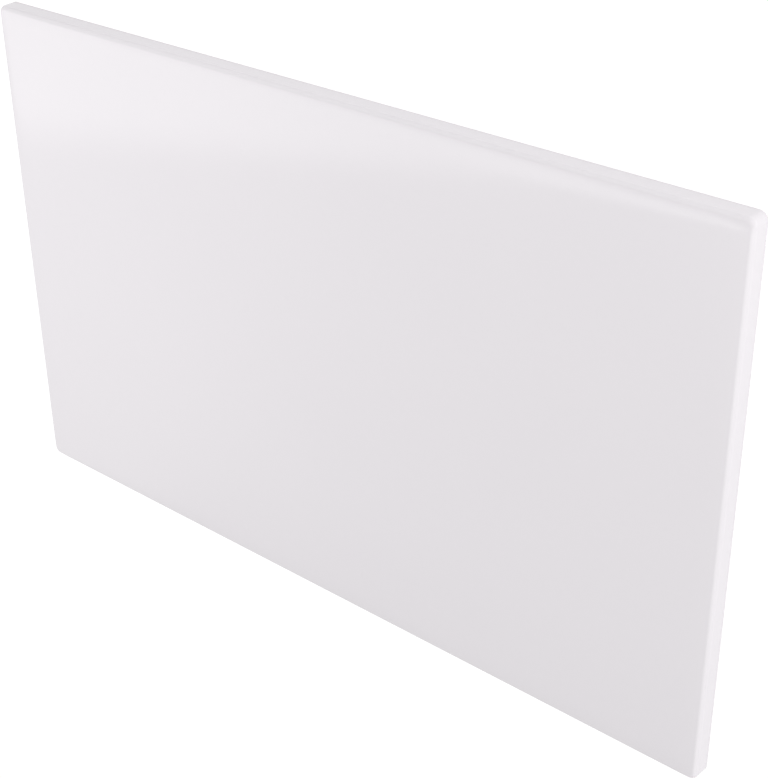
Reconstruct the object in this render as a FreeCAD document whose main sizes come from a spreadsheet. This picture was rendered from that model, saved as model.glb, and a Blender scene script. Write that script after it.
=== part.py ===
"""Bath end panel: one sheet of white acrylic, drawn over a shallow former and trimmed.

The sheet gives a flat show face with a return on all four sides and an open back. The panel
lies on the trimmed rim of its returns with the show face up. Lengths are in millimetres and
angles in degrees.

Frame: X runs along the panel's width, Y up its height as fitted (the top edge is at +Y), and
Z out of the show face. The origin is the centre of the rim plane, so the rim lies on Z = 0.
"""

import FreeCAD
import Part
import math
import os

import Sketcher

PARTS_FOLDER = "parts"
ON_PLANE = 1e-6

# Driving dimensions: alias, value, what it measures.
SIZES = [
    ("panel_width", 700.0, "over the outside of the side returns, at the rim"),
    ("panel_height", 430.0, "over the outside of the top and bottom returns, at the rim"),
    ("return_depth", 15.0, "from the rim to the show face"),
    ("sheet_thickness", 3.0, "the formed sheet"),
    ("edge_inside_radius", 0.5, "bend between the show face and a return, on the hidden side"),
    ("corner_inside_radius", 3.5, "bend between two returns, on the hidden side, at the rim"),
    ("draft_angle", 2.0, "lean of each return, so that the sheet leaves its former"),
    ("rim_break", 0.4, "bevel on both edges of the trimmed rim"),
]


def make_size_sheet(doc):
    """Put the driving dimensions in a spreadsheet, one aliased cell each."""
    sheet = doc.addObject("Spreadsheet::Sheet", "Sizes")
    for row, (alias, value, meaning) in enumerate(SIZES, start=1):
        sheet.set(f"A{row}", alias)
        sheet.set(f"B{row}", str(value))
        sheet.setAlias(f"B{row}", alias)
        sheet.set(f"C{row}", meaning)
    doc.recompute()
    return sheet


def origin_plane(body, role):
    """Return the body's own origin plane with that role."""
    return next(feature for feature in body.Origin.OriginFeatures if feature.Role == role)


def draw_outline(body, name, width, height, corner_radius):
    """Sketch a rectangle with rounded corners on the rim plane, centred on the origin.

    Width, height and corner radius are expressions, and the sketch stays bound to them.
    """
    sketch = body.newObject("Sketcher::SketchObject", name)
    sketch.AttachmentSupport = [(origin_plane(body, "XY_Plane"), "")]
    sketch.MapMode = "FlatFace"

    half_width = sketch.evalExpression(width) / 2
    half_height = sketch.evalExpression(height) / 2
    radius = sketch.evalExpression(corner_radius)
    quarter = math.pi / 2
    up = FreeCAD.Vector(0, 0, 1)

    # Anticlockwise from the right-hand side, each side followed by the corner at its end.
    across = half_width - radius
    upward = half_height - radius
    sides = [
        ((half_width, -upward), (half_width, upward)),
        ((across, half_height), (-across, half_height)),
        ((-half_width, upward), (-half_width, -upward)),
        ((-across, -half_height), (across, -half_height)),
    ]
    centres = [(across, upward), (-across, upward), (-across, -upward), (across, -upward)]
    lines = []
    arcs = []
    for turn, ((start, end), centre) in enumerate(zip(sides, centres)):
        segment = Part.LineSegment(FreeCAD.Vector(*start), FreeCAD.Vector(*end))
        lines.append(sketch.addGeometry(segment, False))
        circle = Part.Circle(FreeCAD.Vector(*centre), up, radius)
        arc = Part.ArcOfCircle(circle, turn * quarter, (turn + 1) * quarter)
        arcs.append(sketch.addGeometry(arc, False))

    start_point, end_point = 1, 2
    for turn in range(len(sides)):
        line = lines[turn]
        arc = arcs[turn]
        next_line = lines[(turn + 1) % len(sides)]
        sketch.addConstraint(Sketcher.Constraint("Tangent", line, end_point, arc, start_point))
        sketch.addConstraint(Sketcher.Constraint("Tangent", arc, end_point, next_line, start_point))
    right, top, left, bottom = lines
    for line in (right, left):
        sketch.addConstraint(Sketcher.Constraint("Vertical", line))
    for line in (top, bottom):
        sketch.addConstraint(Sketcher.Constraint("Horizontal", line))
    for arc in arcs[1:]:
        sketch.addConstraint(Sketcher.Constraint("Equal", arcs[0], arc))
    sketch_origin = (-1, 1)
    sketch.addConstraint(
        Sketcher.Constraint("Symmetric", right, start_point, left, start_point, *sketch_origin)
    )

    def bind(constraint, label, expression):
        index = sketch.addConstraint(constraint)
        sketch.renameConstraint(index, label)
        sketch.setExpression(f"Constraints.{label}", expression)

    across_panel = Sketcher.Constraint(
        "DistanceX", left, start_point, right, end_point, 2 * half_width
    )
    bind(across_panel, "outline_width", width)
    up_panel = Sketcher.Constraint(
        "DistanceY", bottom, end_point, top, start_point, 2 * half_height
    )
    bind(up_panel, "outline_height", height)
    bind(Sketcher.Constraint("Radius", arcs[0], radius), "outline_corner", corner_radius)
    return sketch


def edges_at(feature, height):
    """Name the edges of a feature that lie level at that height."""
    return [
        f"Edge{number}"
        for number, edge in enumerate(feature.Shape.Edges, start=1)
        if edge.BoundBox.ZLength < ON_PLANE and abs(edge.BoundBox.ZMin - height) < ON_PLANE
    ]


def make_bath_panel(doc, sheet):
    """Form the sheet: the outside with its draft and bends, the hollow behind it, the rim."""
    body = doc.addObject("PartDesign::Body", "BathPanel")
    body.Label = "bath_panel"

    # Each return leans, so the sheet is a little wider across its rim than square to its face.
    rim_width = "Sizes.sheet_thickness / cos(Sizes.draft_angle)"

    outer_form = body.newObject("PartDesign::Pad", "OuterForm")
    outer_form.Profile = draw_outline(
        body,
        "RimOutside",
        "Sizes.panel_width",
        "Sizes.panel_height",
        f"Sizes.corner_inside_radius + {rim_width}",
    )
    outer_form.setExpression("Length", "Sizes.return_depth")
    outer_form.setExpression("TaperAngle", "-Sizes.draft_angle")
    doc.recompute()

    outside_bend = body.newObject("PartDesign::Fillet", "OutsideBend")
    outside_bend.Base = (outer_form, edges_at(outer_form, sheet.return_depth))
    outside_bend.setExpression("Radius", "Sizes.edge_inside_radius + Sizes.sheet_thickness")
    doc.recompute()

    hollow = body.newObject("PartDesign::Pocket", "Hollow")
    hollow.Profile = draw_outline(
        body,
        "RimInside",
        f"Sizes.panel_width - 2 * {rim_width}",
        f"Sizes.panel_height - 2 * {rim_width}",
        "Sizes.corner_inside_radius",
    )
    hollow.Reversed = True
    hollow.setExpression("Length", "Sizes.return_depth - Sizes.sheet_thickness")
    hollow.setExpression("TaperAngle", "-Sizes.draft_angle")
    doc.recompute()

    inside_bend = body.newObject("PartDesign::Fillet", "InsideBend")
    inside_bend.Base = (hollow, edges_at(hollow, sheet.return_depth - sheet.sheet_thickness))
    inside_bend.setExpression("Radius", "Sizes.edge_inside_radius")
    doc.recompute()

    trimmed_rim = body.newObject("PartDesign::Chamfer", "TrimmedRim")
    trimmed_rim.Base = (inside_bend, edges_at(inside_bend, 0))
    trimmed_rim.setExpression("Size", "Sizes.rim_break")
    doc.recompute()
    return body


def check(doc, sub_parts):
    """Stop if any object failed, or a sub-part isn't one valid solid."""
    for item in doc.Objects:
        if "Invalid" in item.State or "Error" in item.State:
            raise RuntimeError(f"{item.Name} failed: {item.State}")
    for sub_part in sub_parts:
        shape = sub_part.Shape
        if shape.isNull() or not shape.isValid() or len(shape.Solids) != 1:
            raise RuntimeError(f"{sub_part.Label} is not one valid solid")


def main():
    doc = FreeCAD.newDocument("BathPanel")
    sheet = make_size_sheet(doc)
    sub_parts = [make_bath_panel(doc, sheet)]
    check(doc, sub_parts)
    os.makedirs(PARTS_FOLDER, exist_ok=True)
    for sub_part in sub_parts:
        sub_part.Shape.exportStep(f"{PARTS_FOLDER}/{sub_part.Label}.step")
        box = sub_part.Shape.BoundBox
        print(
            f"{sub_part.Label}: {box.XLength:.2f} x {box.YLength:.2f} x {box.ZLength:.2f} mm,"
            f" z from {box.ZMin:.3f}, {sub_part.Shape.Volume / 1000:.1f} cm3"
        )


main()
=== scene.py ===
"""Dress the bath panel: a fine mesh of its formed sheet, the sheet's finishes, and a white studio.

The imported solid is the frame: its box gives the panel's outside, and the sheet's own sizes below are
the ones that it was drawn with. Lengths are in metres. X runs along the panel's width, Y up its height
as fitted and Z out of the show face, and the trimmed rim lies on Z = 0.
"""

from __future__ import annotations

import logging
import math
from collections.abc import Sequence
from dataclasses import dataclass, field
from enum import Enum

import bmesh
import bpy
from mathutils import Matrix, Vector

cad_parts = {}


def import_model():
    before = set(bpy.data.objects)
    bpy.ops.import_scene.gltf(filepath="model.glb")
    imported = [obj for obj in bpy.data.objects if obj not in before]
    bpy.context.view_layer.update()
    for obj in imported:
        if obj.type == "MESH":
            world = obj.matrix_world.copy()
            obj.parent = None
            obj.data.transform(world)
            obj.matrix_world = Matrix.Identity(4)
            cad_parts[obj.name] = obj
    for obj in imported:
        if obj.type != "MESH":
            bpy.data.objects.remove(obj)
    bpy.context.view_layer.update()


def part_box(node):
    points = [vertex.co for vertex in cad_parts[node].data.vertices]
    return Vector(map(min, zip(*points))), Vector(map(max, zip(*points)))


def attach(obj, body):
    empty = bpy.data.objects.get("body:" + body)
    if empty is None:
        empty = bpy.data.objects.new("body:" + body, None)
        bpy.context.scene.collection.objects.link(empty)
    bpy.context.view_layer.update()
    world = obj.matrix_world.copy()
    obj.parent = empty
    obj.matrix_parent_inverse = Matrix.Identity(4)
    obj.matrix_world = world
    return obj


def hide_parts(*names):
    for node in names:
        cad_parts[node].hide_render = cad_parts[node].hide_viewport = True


LOG = logging.getLogger("bath_panel")

NODE = "bath_panel"
BODY = "root"
MM = 0.001

Colour = tuple[float, float, float, float]
Place = tuple[float, float, float]
Scales = tuple[float, float, float]
Edge = tuple[Place, Place]


class Surface(Enum):
    """The sheet's differently finished surfaces, numbered as its material slots."""

    SHOW = 0
    HIDDEN = 1
    RIM = 2


@dataclass(frozen=True)
class Clouds:
    """Cloudy noise: its clouds in a metre, its finer octaves, and the values that it fades between."""

    per_metre: float
    octaves: float
    clear_at: float = 0.0
    full_at: float = 1.0


class NodeBench:
    """Adds and links shader nodes in one tree."""

    def __init__(self, tree: bpy.types.NodeTree) -> None:
        """Work on one tree.

        Args:
            tree: a material's, a world's or a group's nodes.
        """
        self.tree = tree

    @classmethod
    def cleared(cls, owner: bpy.types.Material | bpy.types.World) -> NodeBench:
        """Clear the nodes of a material or world, ready for new ones.

        Args:
            owner: the material or world.

        Returns:
            A bench on its empty tree.
        """
        owner.use_nodes = True
        owner.node_tree.nodes.clear()
        return cls(owner.node_tree)

    def add(self, kind: str, settings: dict[str, object] | None = None, **inputs: object) -> bpy.types.Node:
        """Add a node, set its properties, and set or link its inputs.

        Args:
            kind: the node's type name, without the ShaderNode prefix.
            settings: properties of the node itself, such as a Math node's operation.
            **inputs: socket names, with underscores for spaces; an output socket is linked.

        Returns:
            The new node.
        """
        node = self.tree.nodes.new(kind if kind.startswith("Node") else f"ShaderNode{kind}")
        for name, value in (settings or {}).items():
            setattr(node, name, value)
        for name, value in inputs.items():
            self.feed(node.inputs[name.replace("_", " ")], value)
        return node

    def feed(self, socket: bpy.types.NodeSocket, value: object) -> None:
        """Set a socket to a value, or link an output to it.

        Args:
            socket: the input to feed.
            value: a number, colour, vector or output socket.
        """
        if isinstance(value, bpy.types.NodeSocket):
            self.tree.links.new(value, socket)
        else:
            socket.default_value = value

    def math(self, operation: str, first: object, second: object) -> bpy.types.NodeSocket:
        """Do a sum on two values.

        Args:
            operation: the Math node's operation.
            first: a number or output socket.
            second: a number or output socket.

        Returns:
            The result.
        """
        node = self.add("Math", {"operation": operation})
        self.feed(node.inputs[0], first)
        self.feed(node.inputs[1], second)
        return node.outputs[0]

    def clouds(self, place: bpy.types.NodeSocket, noise: Clouds) -> bpy.types.NodeSocket:
        """Make a mask of cloudy noise.

        Args:
            place: the point, in metres.
            noise: what the clouds are like.

        Returns:
            A value from 0, clear, to 1, full.
        """
        texture = self.add("TexNoise", Vector=place, Scale=noise.per_metre, Detail=noise.octaves)
        return self.fade(texture.outputs["Fac"], noise.clear_at, noise.full_at)

    def fade(self, value: object, clear_at: float, full_at: float) -> bpy.types.NodeSocket:
        """Make a mask that fades in smoothly between two values.

        Args:
            value: a number or output socket.
            clear_at: the value where the mask is 0.
            full_at: the value where the mask is 1.

        Returns:
            The mask.
        """
        node = self.add(
            "MapRange",
            {"interpolation_type": "SMOOTHSTEP"},
            Value=value,
            From_Min=clear_at,
            From_Max=full_at,
        )
        return node.outputs["Result"]

    def turned(self, place: bpy.types.NodeSocket, angle: float, size: Scales) -> bpy.types.NodeSocket:
        """Lay noise at an angle about Z, and scale it along its own axes.

        Args:
            place: the point, in metres.
            angle: how far the noise is turned.
            size: how many times larger the noise is, along each of its axes.

        Returns:
            The point where the noise is to be read.
        """
        node = self.add(
            "Mapping",
            {"vector_type": "TEXTURE"},
            Vector=place,
            Rotation=(0.0, 0.0, angle),
            Scale=size,
        )
        return node.outputs["Vector"]

    def tint(self, share: object, first: object, second: object) -> bpy.types.NodeSocket:
        """Mix two colours.

        Args:
            share: how much of the second colour there is.
            first: a colour or output socket.
            second: a colour or output socket.

        Returns:
            The mixed colour.
        """
        node = self.add("Mix", {"data_type": "RGBA"})
        sockets = {socket.identifier: socket for socket in node.inputs}
        self.feed(sockets["Factor_Float"], share)
        self.feed(sockets["A_Color"], first)
        self.feed(sockets["B_Color"], second)
        return next(socket for socket in node.outputs if socket.identifier == "Result_Color")

    def either(self, share: object, first: bpy.types.Node, second: bpy.types.Node) -> bpy.types.Node:
        """Mix two shaders.

        Args:
            share: how much of the second shader there is.
            first: the node of the first shader.
            second: the node of the second shader.

        Returns:
            The node of the mixed shader.
        """
        node = self.add("MixShader", Fac=share)
        self.feed(node.inputs[1], first.outputs[0])
        self.feed(node.inputs[2], second.outputs[0])
        return node


def new_group(name: str, inputs: dict[str, str], outputs: dict[str, str]) -> bpy.types.NodeTree:
    """Make an empty shader node group with named sockets.

    Args:
        name: the group's name.
        inputs: each input's name and type.
        outputs: each output's name and type.

    Returns:
        The group's tree.
    """
    tree = bpy.data.node_groups.new(name, "ShaderNodeTree")
    for way, sockets in (("INPUT", inputs), ("OUTPUT", outputs)):
        for label, kind in sockets.items():
            tree.interface.new_socket(name=label, in_out=way, socket_type=f"NodeSocket{kind}")
    return tree


@dataclass(frozen=True)
class PigmentDrift:
    """White pigment that lies a touch thinner in slow clouds, with a faint fine mottle."""

    drift: Clouds = Clouds(per_metre=4.0, octaves=2.0, clear_at=0.3, full_at=0.75)
    mottle: Clouds = Clouds(per_metre=160.0, octaves=2.0, clear_at=0.35, full_at=0.75)
    mottle_share: float = 0.35

    def group(self) -> bpy.types.NodeTree:
        """Build the node group.

        Returns:
            A group that gives a colour between Full and Thin, as far as Amount lets it.
        """
        sockets = {"Full": "Color", "Thin": "Color", "Amount": "Float"}
        tree = new_group("pigment drift", sockets, {"Colour": "Color"})
        bench = NodeBench(tree)
        given = bench.add("NodeGroupInput").outputs
        place = bench.add("TexCoord").outputs["Object"]
        mottle = bench.math("MULTIPLY", bench.clouds(place, self.mottle), self.mottle_share)
        thinness = bench.math("ADD", bench.clouds(place, self.drift), mottle)
        share = bench.math("MULTIPLY", thinness, given["Amount"])
        bench.add("NodeGroupOutput", Colour=bench.tint(share, given["Full"], given["Thin"]))
        return tree


@dataclass(frozen=True)
class HandlingMarks:
    """Haze left by wiping, drawn out along the wipe, and hair scratches in a few patches.

    An angle turns the marks in the sheet's plane. A size scales them along, across and square to it.
    """

    haze: Clouds = Clouds(per_metre=7.0, octaves=4.0, clear_at=0.42, full_at=0.8)
    wipe_angle: float = math.radians(29.0)
    wipe_size: Scales = (1.0, 0.286, 1.0)
    hair: Clouds = Clouds(per_metre=1.0, octaves=2.0, clear_at=0.74, full_at=0.8)
    hair_angle: float = math.radians(52.0)
    hair_size: Scales = (0.167, 0.0011, 1.0)
    patches: Clouds = Clouds(per_metre=11.0, octaves=1.0, clear_at=0.52, full_at=0.66)

    def group(self) -> bpy.types.NodeTree:
        """Build the node group.

        Returns:
            A group that gives a roughness: the clean surface's, raised by haze and scratches.
        """
        sockets = {"Clean": "Float", "Haze": "Float", "Scratch": "Float"}
        tree = new_group("handling marks", sockets, {"Roughness": "Float"})
        bench = NodeBench(tree)
        given = bench.add("NodeGroupInput").outputs
        place = bench.add("TexCoord").outputs["Object"]
        haze = bench.clouds(bench.turned(place, self.wipe_angle, self.wipe_size), self.haze)
        hair = bench.clouds(bench.turned(place, self.hair_angle, self.hair_size), self.hair)
        scratches = bench.math("MULTIPLY", hair, bench.clouds(place, self.patches))
        hazed = bench.math("ADD", given["Clean"], bench.math("MULTIPLY", haze, given["Haze"]))
        marked = bench.math("ADD", hazed, bench.math("MULTIPLY", scratches, given["Scratch"]))
        bench.add("NodeGroupOutput", Roughness=marked)
        return tree


@dataclass(frozen=True)
class FormedRipple:
    """The slow waves that forming leaves in a sheet, and its fine orange peel."""

    waves: Clouds = Clouds(per_metre=9.0, octaves=1.0)
    peel: Clouds = Clouds(per_metre=420.0, octaves=1.0)

    def group(self) -> bpy.types.NodeTree:
        """Build the node group.

        Returns:
            A group that gives a height in metres from the heights of the waves and the peel.
        """
        tree = new_group("formed ripple", {"Wave": "Float", "Peel": "Float"}, {"Height": "Float"})
        bench = NodeBench(tree)
        given = bench.add("NodeGroupInput").outputs
        place = bench.add("TexCoord").outputs["Object"]
        wave = bench.math("MULTIPLY", bench.clouds(place, self.waves), given["Wave"])
        peel = bench.math("MULTIPLY", bench.clouds(place, self.peel), given["Peel"])
        bench.add("NodeGroupOutput", Height=bench.math("ADD", wave, peel))
        return tree


class SheetEffects:
    """The node groups that the sheet's finishes share."""

    def __init__(self) -> None:
        """Build each group once."""
        self.pigment = PigmentDrift().group()
        self.handling = HandlingMarks().group()
        self.ripple = FormedRipple().group()


@dataclass(frozen=True)
class AcrylicFinish:
    """One finish of the white acrylic sheet. Colours are linear, and waves and peel are heights."""

    name: str
    colour: Colour
    thin_colour: Colour
    pigment_amount: float
    roughness: float
    haze: float
    scratch: float
    wave: float
    peel: float
    ior: float = 1.49

    def material(self, effects: SheetEffects) -> bpy.types.Material:
        """Build the finish's material.

        Args:
            effects: the shared node groups.

        Returns:
            The new material.
        """
        made = bpy.data.materials.new(self.name)
        made.diffuse_color = self.colour
        bench = NodeBench.cleared(made)
        pigment = bench.add(
            "Group",
            {"node_tree": effects.pigment},
            Full=self.colour,
            Thin=self.thin_colour,
            Amount=self.pigment_amount,
        )
        handling = bench.add(
            "Group",
            {"node_tree": effects.handling},
            Clean=self.roughness,
            Haze=self.haze,
            Scratch=self.scratch,
        )
        ripple = bench.add("Group", {"node_tree": effects.ripple}, Wave=self.wave, Peel=self.peel)
        # The ripple's height is in metres already, so the bump takes it as it is.
        bump = bench.add("Bump", Height=ripple.outputs["Height"], Distance=1.0)
        shader = bench.add(
            "BsdfPrincipled",
            Base_Color=pigment.outputs["Colour"],
            Roughness=handling.outputs["Roughness"],
            IOR=self.ior,
            Normal=bump.outputs["Normal"],
        )
        bench.add("OutputMaterial", Surface=shader.outputs["BSDF"])
        return made


SHOW_GLOSS = AcrylicFinish(
    name="acrylic_show_gloss",
    colour=(0.85, 0.821, 0.849, 1.0),
    thin_colour=(0.835, 0.807, 0.837, 1.0),
    pigment_amount=0.5,
    roughness=0.08,
    haze=0.02,
    scratch=0.06,
    wave=0.01 * MM,
    peel=0.0002 * MM,
)
HIDDEN_SATIN = AcrylicFinish(
    name="acrylic_hidden_satin",
    colour=(0.80, 0.785, 0.79, 1.0),
    thin_colour=(0.72, 0.705, 0.70, 1.0),
    pigment_amount=0.7,
    roughness=0.42,
    haze=0.12,
    scratch=0.15,
    wave=0.03 * MM,
    peel=0.01 * MM,
)
RIM_CUT = AcrylicFinish(
    name="acrylic_rim_cut",
    colour=(0.82, 0.80, 0.81, 1.0),
    thin_colour=(0.74, 0.725, 0.73, 1.0),
    pigment_amount=0.8,
    roughness=0.5,
    haze=0.15,
    scratch=0.1,
    wave=0.0,
    peel=0.03 * MM,
)


@dataclass(frozen=True)
class Station:
    """One ring around the sheet's section.

    The inset is measured in from the rim's outline and the level up from the rim. The surface is the
    one that follows the ring.
    """

    inset: float
    level: float
    surface: Surface


class SheetMesh:
    """Collects points and faces until they become one mesh."""

    def __init__(self) -> None:
        """Start with nothing."""
        self.mesh = bmesh.new()

    def point(self, x: float, y: float, z: float) -> bmesh.types.BMVert:
        """Add a point and return it."""
        return self.mesh.verts.new((x, y, z))

    def face(self, corners: Sequence[bmesh.types.BMVert], surface: Surface) -> None:
        """Add a smooth face.

        Args:
            corners: its points, anticlockwise seen from outside.
            surface: what it belongs to.
        """
        made = self.mesh.faces.new(corners)
        made.material_index = surface.value
        made.smooth = True

    def close(self, name: str, sharp_angle: float) -> bpy.types.Object:
        """Turn what was collected into an object in the scene.

        Args:
            name: the object's name.
            sharp_angle: edges that turn by more than this stay sharp.

        Returns:
            The new object.
        """
        data = bpy.data.meshes.new(name)
        self.mesh.to_mesh(data)
        self.mesh.free()
        data.set_sharp_from_angle(angle=sharp_angle)
        made = bpy.data.objects.new(name, data)
        bpy.context.scene.collection.objects.link(made)
        return made


@dataclass
class FormedPanel:
    """The formed sheet: a show face, four returns, a hollow back and a trimmed rim.

    Width and height are over the returns at the rim, before its edges are broken. Near its edges the
    show face falls away a little before it bends, as a formed sheet does: that is its roll, whose drop
    grows as a power of the distance into its width.
    """

    width: float
    height: float
    depth: float
    sheet: float = 3.0 * MM
    edge_inside_radius: float = 0.5 * MM
    corner_inside_radius: float = 3.5 * MM
    draft: float = math.radians(2.0)
    rim_break: float = 0.4 * MM
    roll_drop: float = 0.285 * MM
    roll_width: float = 19.0 * MM
    roll_power: int = 3
    roll_cells: int = 12
    middle_cell: float = 16.0 * MM
    corner_steps: int = 10
    outside_bend_steps: int = 14
    inside_bend_steps: int = 4
    wall_steps: int = 3
    sharp_angle: float = math.radians(35.0)
    piece: bpy.types.Object | None = field(default=None, init=False)

    @classmethod
    def from_frame(cls) -> FormedPanel:
        """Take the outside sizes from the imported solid, whose rim edges are already broken.

        Returns:
            The panel, not yet built.
        """
        low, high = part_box(NODE)
        broken = 2 * cls.rim_break * math.sin(cls.draft)
        return cls(high[0] - low[0] + broken, high[1] - low[1] + broken, high[2] - low[2])

    @property
    def rim_width(self) -> float:
        """The sheet measured across the rim, where the return leans."""
        return self.sheet / math.cos(self.draft)

    @property
    def corner_outside_radius(self) -> float:
        """The outline's corner radius at the rim."""
        return self.corner_inside_radius + self.rim_width

    @property
    def edge_outside_radius(self) -> float:
        """The radius of the bend between the show face and a return."""
        return self.edge_inside_radius + self.sheet

    @property
    def bend_level(self) -> float:
        """The height of the bends' common centre line."""
        return self.depth - self.edge_outside_radius

    @property
    def bend_inset(self) -> float:
        """How far in from the rim's outline the bends end and the face starts."""
        return self.bend_level * math.tan(self.draft) + self.edge_outside_radius / math.cos(self.draft)

    def build(self) -> bpy.types.Object:
        """Mesh the sheet as rings along its section, closed by a grid on each face.

        Returns:
            The sheet, which rides on the panel's body in place of its solid.
        """
        xs = self._grid_lines(self.width / 2 - self.corner_outside_radius)
        ys = self._grid_lines(self.height / 2 - self.corner_outside_radius)
        mesh = SheetMesh()
        stations = self._section()
        rings = [self._ring(mesh, station, xs, ys) for station in stations]
        count = len(rings[0])
        for station, upper, lower in zip(stations, rings, rings[1:]):
            for here in range(count):
                after = (here + 1) % count
                mesh.face([upper[here], lower[here], lower[after], upper[after]], station.surface)
        self._fill(mesh, rings[0], stations[0], xs, ys)
        self._fill(mesh, rings[-1], stations[-1], xs, ys)

        self.piece = mesh.close("bath_panel_sheet", self.sharp_angle)
        even_shading = self.piece.modifiers.new("even_shading", "WEIGHTED_NORMAL")
        even_shading.keep_sharp = True
        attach(self.piece, BODY)
        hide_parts(NODE)
        return self.piece

    def dress(self, effects: SheetEffects) -> None:
        """Give each surface its finish.

        Args:
            effects: the shared node groups.
        """
        finishes = {Surface.SHOW: SHOW_GLOSS, Surface.HIDDEN: HIDDEN_SATIN, Surface.RIM: RIM_CUT}
        for surface in Surface:
            self.piece.data.materials.append(finishes[surface].material(effects))

    def _grid_lines(self, half: float) -> list[float]:
        """Place grid lines along one axis, close together where the face rolls.

        Args:
            half: the distance from the middle to a corner's centre.

        Returns:
            Positions from -half to half.
        """
        flat = half - self.roll_width
        near = [flat + self.roll_width * step / self.roll_cells for step in range(1, self.roll_cells + 1)]
        count = round(2 * flat / self.middle_cell)
        middle = [flat * (2 * step / count - 1) for step in range(count + 1)]
        return [-place for place in reversed(near)] + middle + near

    def _section(self) -> list[Station]:
        """Work out the sheet's section, from the show face over the rim to the hidden face.

        Returns:
            The stations in order.
        """
        lean = math.tan(self.draft)
        break_level = self.rim_break * math.cos(self.draft)
        outer_bend = self._bend(self.edge_outside_radius, self.outside_bend_steps, Surface.SHOW)
        outer_foot = Station(break_level * lean, break_level, Surface.RIM)
        rim = [
            outer_foot,
            Station(self.rim_break, 0.0, Surface.RIM),
            Station(self.rim_width - self.rim_break, 0.0, Surface.RIM),
        ]
        inner_foot = Station(self.rim_width + break_level * lean, break_level, Surface.HIDDEN)
        inner_bend = self._bend(self.edge_inside_radius, self.inside_bend_steps, Surface.HIDDEN)
        inner_bend.reverse()
        outer_wall = self._wall(outer_bend[-1], outer_foot)
        inner_wall = self._wall(inner_foot, inner_bend[0])
        return outer_bend + outer_wall + rim + [inner_foot] + inner_wall + inner_bend

    def _bend(self, radius: float, steps: int, surface: Surface) -> list[Station]:
        """Go round a bend, from the face to the return.

        Args:
            radius: the bend's radius.
            steps: how many facets it has.
            surface: what it belongs to.

        Returns:
            The stations, both ends included.
        """
        turn = math.pi / 2 - self.draft
        angles = [turn * step / steps for step in range(steps + 1)]
        return [
            Station(
                self.bend_inset - radius * math.sin(angle),
                self.bend_level + radius * math.cos(angle),
                surface,
            )
            for angle in angles
        ]

    def _wall(self, start: Station, end: Station) -> list[Station]:
        """Divide a straight wall.

        Args:
            start: the wall's first station.
            end: the wall's last station.

        Returns:
            The stations between them.
        """
        shares = [step / self.wall_steps for step in range(1, self.wall_steps)]
        return [
            Station(
                start.inset + (end.inset - start.inset) * share,
                start.level + (end.level - start.level) * share,
                start.surface,
            )
            for share in shares
        ]

    def _roll(self, x: float, y: float, level: float) -> float:
        """Say how far the sheet has fallen away at a place.

        Args:
            x: the place across the panel.
            y: the place up the panel.
            level: its height before the fall.

        Returns:
            The fall, which fades out down the returns.
        """
        fall = 0.0
        for place, half in ((x, self.width / 2), (y, self.height / 2)):
            inside = max(0.0, half - self.bend_inset - abs(place))
            fall += self.roll_drop * max(0.0, 1.0 - inside / self.roll_width) ** self.roll_power
        return fall * min(1.0, level / self.bend_level)

    def _rolled(self, mesh: SheetMesh, x: float, y: float, level: float) -> bmesh.types.BMVert:
        """Add a point of the sheet, lowered by the roll, and return it."""
        return mesh.point(x, y, level - self._roll(x, y, level))

    def _ring(
        self, mesh: SheetMesh, station: Station, xs: list[float], ys: list[float]
    ) -> list[bmesh.types.BMVert]:
        """Add one ring of points, anticlockwise from the lower end of the right-hand side.

        Args:
            mesh: where the points go.
            station: the ring's inset and level.
            xs: grid lines across, which end at the corners' centres.
            ys: grid lines up, which end at the corners' centres.

        Returns:
            The points.
        """
        right = self.width / 2 - station.inset
        top = self.height / 2 - station.inset
        radius = self.corner_outside_radius - station.inset
        sides = [
            [(right, y) for y in ys],
            [(x, top) for x in reversed(xs)],
            [(-right, y) for y in reversed(ys)],
            [(x, -top) for x in xs],
        ]
        centres = [(xs[-1], ys[-1]), (xs[0], ys[-1]), (xs[0], ys[0]), (xs[-1], ys[0])]
        plan: list[tuple[float, float]] = []
        for corner, (side, (centre_x, centre_y)) in enumerate(zip(sides, centres)):
            plan.extend(side)
            for step in range(1, self.corner_steps):
                angle = math.pi / 2 * (corner + step / self.corner_steps)
                plan.append((centre_x + radius * math.cos(angle), centre_y + radius * math.sin(angle)))
        return [self._rolled(mesh, x, y, station.level) for x, y in plan]

    def _fill(
        self,
        mesh: SheetMesh,
        ring: list[bmesh.types.BMVert],
        station: Station,
        xs: list[float],
        ys: list[float],
    ) -> None:
        """Close a face with a grid inside a ring, and a fan at each corner.

        Args:
            mesh: where the faces go.
            ring: the points around the face.
            station: the ring's level and surface.
            xs: grid lines across.
            ys: grid lines up.
        """
        grid = [[self._rolled(mesh, x, y, station.level) for y in ys] for x in xs]
        faces: list[list[bmesh.types.BMVert]] = []
        for column, following in zip(grid, grid[1:]):
            for row in range(len(ys) - 1):
                faces.append([column[row], following[row], following[row + 1], column[row + 1]])
        edges = [
            grid[-1],
            [column[-1] for column in reversed(grid)],
            grid[0][::-1],
            [column[0] for column in grid],
        ]
        start = 0
        for edge in edges:
            last = len(edge) - 1
            around = [ring[(start + step) % len(ring)] for step in range(last + self.corner_steps + 1)]
            for step in range(last):
                faces.append([edge[step], around[step], around[step + 1], edge[step + 1]])
            for step in range(last, last + self.corner_steps):
                faces.append([edge[last], around[step], around[step + 1]])
            start += last + self.corner_steps
        faces_up = station.surface is Surface.SHOW
        for corners in faces:
            mesh.face(corners if faces_up else corners[::-1], station.surface)


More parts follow.
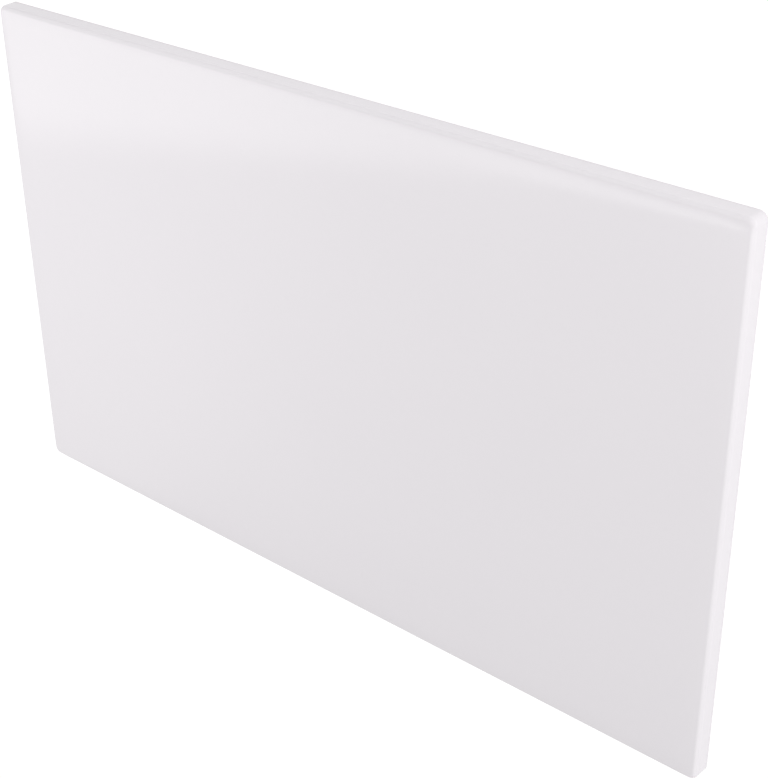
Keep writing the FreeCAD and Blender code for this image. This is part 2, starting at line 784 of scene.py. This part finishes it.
class Reach(Enum):
    """What a light or card does on the panel: it shades it, is mirrored in its gloss, or both."""

    SHADING = "shading"
    MIRRORED = "mirrored"
    BOTH = "both"

    def limit(self, hung: bpy.types.Object) -> None:
        """Hide a light or card from the camera and from what it has no part in.

        What is only mirrored casts no shadow either.

        Args:
            hung: the light's or card's object.
        """
        hung.visible_camera = False
        hung.visible_diffuse = self is not Reach.MIRRORED
        hung.visible_shadow = self is not Reach.MIRRORED
        hung.visible_glossy = self is not Reach.SHADING


@dataclass(frozen=True)
class Softbox:
    """A rectangular studio light, which the camera doesn't see.

    It is given by its middle, the point that it faces and its size across and up. Radiance is the
    brightness of its face, where 1 renders white.
    """

    name: str
    middle: Place
    aim: Place
    size: tuple[float, float]
    radiance: float
    reach: Reach

    def hang(self) -> None:
        """Make the light."""
        lamp = bpy.data.lights.new(self.name, "AREA")
        lamp.shape = "RECTANGLE"
        lamp.size, lamp.size_y = self.size
        lamp.energy = self.radiance * math.pi * lamp.size * lamp.size_y
        facing = (Vector(self.aim) - Vector(self.middle)).to_track_quat("-Z", "Y").to_matrix()
        hung = bpy.data.objects.new(self.name, lamp)
        hung.matrix_world = Matrix.Translation(self.middle) @ facing.to_4x4()
        self.reach.limit(hung)
        bpy.context.scene.collection.objects.link(hung)


@dataclass(frozen=True)
class Card:
    """A studio card, made as a row of cells between two straight edges.

    Each edge is given by its ends. The card's UV map holds the share along it and the share up it.
    """

    name: str
    lower: Edge
    upper: Edge
    reach: Reach
    cells: int = 16

    def hang(self, material: bpy.types.Material) -> None:
        """Make the card, as a part of the stage.

        Args:
            material: what it is made of.
        """
        shares = [step / self.cells for step in range(self.cells + 1)]
        count = len(shares)
        points: list[Vector] = []
        for start, end in (self.lower, self.upper):
            points.extend(Vector(start).lerp(end, share) for share in shares)
        faces = [(step, count + step, count + step + 1, step + 1) for step in range(self.cells)]
        data = bpy.data.meshes.new(self.name)
        data.from_pydata(points, [], faces)
        spots = data.uv_layers.new(name="along_and_up")
        for spot, loop in zip(spots.data, data.loops):
            up, along = divmod(loop.vertex_index, count)
            spot.uv = (shares[along], up)
        data.materials.append(material)
        hung = bpy.data.objects.new(self.name, data)
        self.reach.limit(hung)
        bpy.context.scene.collection.objects.link(hung)


@dataclass(frozen=True)
class TaperedStrip:
    """A flat strip light over the panel's left, which faces down and narrows to the right.

    The show face mirrors it as its bright zone, and the strip's straight lower edge is the lower end
    of that zone. A point on that edge and its slope across the panel place the strip, start and end
    are its ends across the panel, and its height there is measured up the panel. Its glow fades
    out towards the lower edge, over a share of the height, and gains towards the narrow end.
    """

    name: str = "tapered_strip"
    edge_point: Place = (-1.717, -0.562, 1.015)
    slope: float = math.radians(11.9)
    start: float = -1.95
    end: float = -0.08
    start_height: float = 0.454
    end_height: float = 0.035
    soft_share: float = 0.30
    radiance: float = 1.555
    narrow_gain: float = 1.3
    reach: Reach = Reach.BOTH

    def hang(self) -> None:
        """Make the light, as a glowing card."""
        edge_x, edge_y, level = self.edge_point
        rise = math.tan(self.slope)
        start_y = edge_y + (self.start - edge_x) * rise
        end_y = edge_y + (self.end - edge_x) * rise
        start_top = start_y + self.start_height
        end_top = end_y + self.end_height
        lower = ((self.start, start_y, level), (self.end, end_y, level))
        upper = ((self.start, start_top, level), (self.end, end_top, level))
        Card(self.name, lower, upper, self.reach).hang(self._glow())

    def _glow(self) -> bpy.types.Material:
        """Make the strip's material, clear on its upper side.

        Returns:
            The new material.
        """
        glow = bpy.data.materials.new(f"{self.name}_glow")
        bench = NodeBench.cleared(glow)
        spot = bench.add("SeparateXYZ", Vector=bench.add("UVMap").outputs["UV"]).outputs
        clear = bench.add("BsdfTransparent")
        gain = bench.add(
            "MapRange",
            Value=spot["X"],
            To_Min=self.radiance,
            To_Max=self.radiance * self.narrow_gain,
        )
        lit = bench.add("Emission", Strength=gain.outputs["Result"])
        strip = bench.either(bench.fade(spot["Y"], 0.0, self.soft_share), clear, lit)
        side = bench.either(bench.add("NewGeometry").outputs["Backfacing"], strip, clear)
        bench.add("OutputMaterial", Surface=side.outputs["Shader"])
        return glow


@dataclass(frozen=True)
class Flag:
    """A dull card that only the gloss mirrors: it darkens the bend that it stands beyond.

    Its sides fade out, each over a share of its width, and its top may fade out over a share of its
    height. It is black unless it is given a colour.
    """

    name: str
    lower: Edge
    upper: Edge
    colour: Colour = (0.0, 0.0, 0.0, 1.0)
    soft_sides: float = 0.2
    soft_top: float = 0.0

    def hang(self) -> None:
        """Make the card."""
        Card(self.name, self.lower, self.upper, Reach.MIRRORED).hang(self._dull())

    def _dull(self) -> bpy.types.Material:
        """Make the card's material.

        Returns:
            The new material.
        """
        dull = bpy.data.materials.new(f"{self.name}_dull")
        bench = NodeBench.cleared(dull)
        spot = bench.add("SeparateXYZ", Vector=bench.add("UVMap").outputs["UV"]).outputs
        left = bench.fade(spot["X"], 0.0, self.soft_sides)
        right = bench.fade(spot["X"], 1.0, 1.0 - self.soft_sides)
        share = bench.math("MULTIPLY", left, right)
        if self.soft_top:
            share = bench.math("MULTIPLY", share, bench.fade(spot["Y"], 1.0, 1.0 - self.soft_top))
        cloth = bench.add("BsdfDiffuse", Color=self.colour)
        card = bench.either(share, bench.add("BsdfTransparent"), cloth)
        bench.add("OutputMaterial", Surface=card.outputs["Shader"])
        return dull


@dataclass(frozen=True)
class Floor:
    """A white floor that glows, more to the camera than on the panel, and is clear from below.

    It is laid off centre, so that its diagonal, along which it is split, isn't under the panel.
    """

    half: float = 40.0
    off_centre: float = 6.0
    gap: float = 0.2 * MM
    glow: float = 0.588
    glow_seen: float = 0.85
    glow_colour: Colour = (1.0, 0.995, 1.0, 1.0)
    colour: Colour = (0.25, 0.249, 0.25, 1.0)

    def lay(self) -> None:
        """Lay the floor just under the rim."""
        half = self.half
        data = bpy.data.meshes.new("floor")
        corners = [(-half, -half, 0.0), (half, -half, 0.0), (half, half, 0.0), (-half, half, 0.0)]
        data.from_pydata(corners, [], [(0, 1, 2, 3)])
        floor = bpy.data.objects.new("floor", data)
        floor.location = (self.off_centre, -self.off_centre, -self.gap)
        bpy.context.scene.collection.objects.link(floor)
        data.materials.append(self._white())

    def _white(self) -> bpy.types.Material:
        """Make the floor's material.

        Returns:
            The new material.
        """
        white = bpy.data.materials.new("floor_white")
        bench = NodeBench.cleared(white)
        cast = bench.add("Emission", Color=self.glow_colour, Strength=self.glow)
        seen = bench.add("Emission", Color=self.glow_colour, Strength=self.glow_seen)
        glow = bench.either(bench.add("LightPath").outputs["Is Camera Ray"], cast, seen)
        lit = bench.add("AddShader")
        bench.feed(lit.inputs[0], bench.add("BsdfDiffuse", Color=self.colour).outputs["BSDF"])
        bench.feed(lit.inputs[1], glow.outputs["Shader"])
        from_below = bench.add("NewGeometry").outputs["Backfacing"]
        floor = bench.either(from_below, lit, bench.add("BsdfTransparent"))
        bench.add("OutputMaterial", Surface=floor.outputs["Shader"])
        return white


@dataclass(frozen=True)
class Surround:
    """Even light from all round, with a white backdrop where the camera sees it."""

    level: float = 0.763
    colour: Colour = (1.0, 1.0, 1.0, 1.0)
    backdrop: float = 1.0
    backdrop_colour: Colour = (1.0, 0.995, 1.0, 1.0)

    def set_up(self) -> None:
        """Make the scene's world."""
        world = bpy.data.worlds.new("surround")
        bench = NodeBench.cleared(world)
        around = bench.add("Background", Color=self.colour, Strength=self.level)
        behind = bench.add("Background", Color=self.backdrop_colour, Strength=self.backdrop)
        seen = bench.either(bench.add("LightPath").outputs["Is Camera Ray"], around, behind)
        bench.add("OutputWorld", Surface=seen.outputs["Shader"])
        bpy.context.scene.world = world


# From the floor close beyond the panel's top, leaning over it, up to the strip's upper edge.
UPPER_FLAG = Flag(
    "upper_flag",
    lower=((-0.85, 0.25, 0.0), (0.85, 0.25, 0.0)),
    upper=((-2.4, -0.152, 1.02), (0.6, -0.188, 1.02)),
)
# Upright, beyond the panel's bottom.
LOWER_FLAG = Flag(
    "lower_flag",
    lower=((-1.6, -1.2, 0.0), (0.5, -1.2, 0.0)),
    upper=((-1.6, -1.2, 1.3), (0.5, -1.2, 1.3)),
    colour=(0.48, 0.48, 0.48, 1.0),
    soft_top=0.35,
)

# Low over the panel's left, to lift that end of the show face.
LEFT_FILL = Softbox(
    "left_fill",
    middle=(-0.5, 0.2, 0.4),
    aim=(-0.5, 0.2, 0.0),
    size=(0.85, 0.85),
    radiance=0.303,
    reach=Reach.SHADING,
)
# Beside the panel, for its right-hand return.
RIGHT_SOFTBOX = Softbox(
    "right_softbox",
    middle=(1.8, 0.1, 0.45),
    aim=(0.35, 0.1, 0.0),
    size=(0.8, 0.8),
    radiance=3.23,
    reach=Reach.SHADING,
)
# Beyond the panel's top, for its upper return.
UPPER_SOFTBOX = Softbox(
    "upper_softbox",
    middle=(0.4, 0.65, 0.2),
    aim=(0.3, 0.2, 0.05),
    size=(1.2, 0.25),
    radiance=0.8,
    reach=Reach.SHADING,
)
# High up, far to the right, where the right-hand bend mirrors it.
BEND_BANK = Softbox(
    "bend_bank",
    middle=(4.2, -4.0, 2.5),
    aim=(4.2, -4.0, 0.0),
    size=(6.7, 6.4),
    radiance=0.6,
    reach=Reach.MIRRORED,
)


@dataclass(frozen=True)
class Studio:
    """The floor, the surround, the strip light, the flags and the softboxes."""

    floor: Floor = Floor()
    surround: Surround = Surround()
    strip: TaperedStrip = TaperedStrip()
    flags: tuple[Flag, ...] = (UPPER_FLAG, LOWER_FLAG)
    softboxes: tuple[Softbox, ...] = (LEFT_FILL, RIGHT_SOFTBOX, UPPER_SOFTBOX, BEND_BANK)

    def build(self) -> None:
        """Lay the floor, set up the surround and hang the rest."""
        self.floor.lay()
        self.surround.set_up()
        self.strip.hang()
        for flag in self.flags:
            flag.hang()
        for softbox in self.softboxes:
            softbox.hang()


@dataclass(frozen=True)
class PhotoCamera:
    """The photograph's viewpoint, worked out from the panel's corners.

    The panel's height runs up the picture, so the camera's upright is +Y. The focal length and the
    picture's height are in the picture's pixels, and the sensor is in millimetres. It spans the longer
    side of the picture, which is its height.
    """

    place: Place = (0.7538, 0.5911, 0.8075)
    target: Place = (0.0647, 0.0015, 0.0150)
    roll: float = math.radians(-0.726)
    picture_height: float = 778.0
    focal_length: float = 1631.2
    sensor: float = 36.0
    far_limit: float = 100.0

    def set_up(self) -> None:
        """Make the scene's camera."""
        data = bpy.data.cameras.new("photo_camera")
        data.sensor_width = self.sensor
        data.lens = self.focal_length / self.picture_height * self.sensor
        data.clip_end = self.far_limit
        camera = bpy.data.objects.new("photo_camera", data)
        upright = Vector((0.0, 1.0, 0.0))
        back = (Vector(self.place) - Vector(self.target)).normalized()
        right = upright.cross(back).normalized()
        axes = Matrix((right, back.cross(right), back)).transposed() @ Matrix.Rotation(self.roll, 3, "Z")
        camera.matrix_world = Matrix.Translation(self.place) @ axes.to_4x4()
        bpy.context.scene.collection.objects.link(camera)
        bpy.context.scene.camera = camera


def main() -> None:
    """Build the panel, dress it, and set up the studio and the camera."""
    logging.basicConfig(level=logging.INFO, format="%(name)s: %(message)s")
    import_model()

    panel = FormedPanel.from_frame()
    piece = panel.build()
    panel.dress(SheetEffects())
    LOG.info("%s: %d faces on %s", piece.name, len(piece.data.polygons), BODY)

    Studio().build()
    PhotoCamera().set_up()
    bpy.context.scene.view_settings.view_transform = "Standard"
    LOG.info("studio and camera are set up")


if __name__ == "__main__":
    main()
